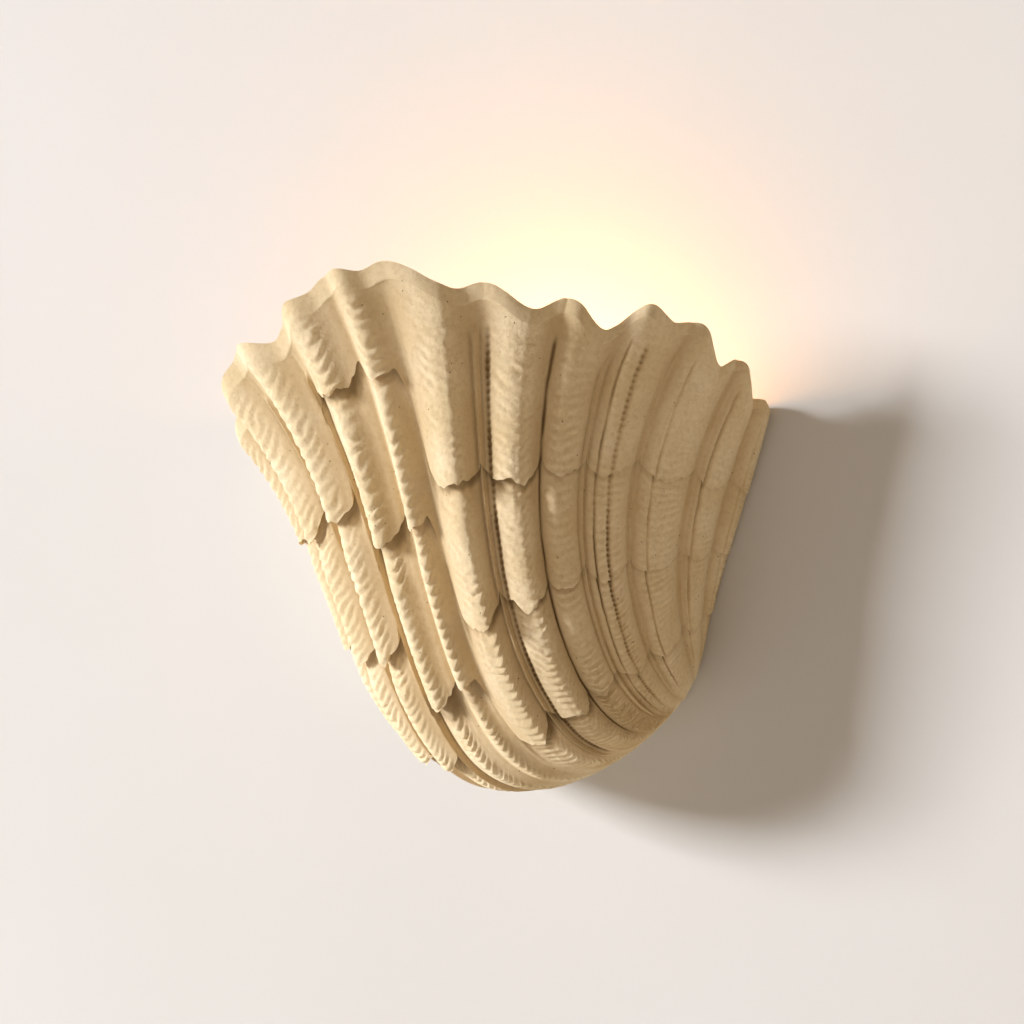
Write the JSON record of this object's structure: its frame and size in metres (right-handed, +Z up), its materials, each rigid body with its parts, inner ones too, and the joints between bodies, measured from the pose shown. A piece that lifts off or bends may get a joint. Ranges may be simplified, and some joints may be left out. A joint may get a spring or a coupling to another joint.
{
  "type": "shell wall sconce",
  "caption": "Fluted clam-shell uplighter in cast stone that hangs on a steel crossbar and hides a small screw lamp in its open top.",
  "frame": {"origin": "middle of the two wall-screw slots, on the wall plane", "axes": "+Z up, +X to the right as seen from the room, +Y into the wall"},
  "size_m": [0.3071, 0.1419, 0.2759],
  "materials": {
    "cast_stone": "matt, sandy, pinholed",
    "zinc_steel": "zinc plated",
    "brass": "plain turned",
    "nickel": "nickel plated, satin",
    "rubber": "matt moulded",
    "black_plastic": "moulded phenolic",
    "white_plastic": "moulded",
    "lamp_ceramic": "glazed inner disc",
    "opal_glass": "opal, lit from inside",
    "board_white": "white solder mask on aluminium",
    "led_yellow": "phosphor",
    "vitrite": "black glass",
    "solder": "dull solder",
    "wire_brown": "heat-resistant sleeve",
    "wire_blue": "heat-resistant sleeve",
    "wire_earth": "green and yellow sleeve"
  },
  "bodies": {
    "wall_bracket": {"wall_plate": "zinc_steel", "cable_grommet": "rubber", "studs": "zinc_steel", "stud_nuts": "zinc_steel", "lamp_bracket": "zinc_steel", "bracket_screws": "zinc_steel", "nipple": "zinc_steel", "nipple_nuts": "zinc_steel", "nipple_washer": "zinc_steel", "holder_cap": "black_plastic", "holder_body": "black_plastic", "holder_insert": "lamp_ceramic", "holder_sleeve": "brass", "holder_contacts": "brass", "terminal_block": "white_plastic", "terminal_screws": "zinc_steel", "block_screws": "zinc_steel", "earth_tag": "brass", "earth_screw": "brass", "lead_live": "wire_brown", "lead_neutral": "wire_blue", "lead_earth": "wire_earth"},
    "shell_body": {"shell": "cast_stone", "shell_inserts": "brass", "hanging_ears": "zinc_steel", "ear_screws": "zinc_steel", "nut_washers": "rubber"},
    "right_thumb_nut": {"thumb_nut_right": "brass"},
    "left_thumb_nut": {"thumb_nut_left": "brass"},
    "lamp": {"bulb_tip": "solder", "bulb_insulator": "vitrite", "bulb_screw_cap": "nickel", "bulb_body": "white_plastic", "bulb_board": "board_white", "bulb_leds": "led_yellow", "bulb_dome": "opal_glass"}
  },
  "joints": [
    {"name": "shell_lift_off", "type": "slide", "parent": "wall_bracket", "child": "shell_body", "axis": [0, -1, 0], "range_m": [0, 0.15]},
    {"name": "right_nut_turn", "type": "hinge", "parent": "shell_body", "child": "right_thumb_nut", "pos_m": [0.05132, -0.0146, 0], "axis": [0, -1, 0], "continuous": true},
    {"name": "left_nut_turn", "type": "hinge", "parent": "shell_body", "child": "left_thumb_nut", "pos_m": [-0.05132, -0.0146, 0], "axis": [0, -1, 0], "continuous": true},
    {"name": "lamp_turn", "type": "hinge", "parent": "wall_bracket", "child": "lamp", "pos_m": [0, -0.048, 0], "axis": [0, 0, 1], "range_deg": [0, 1260]}
  ]
}
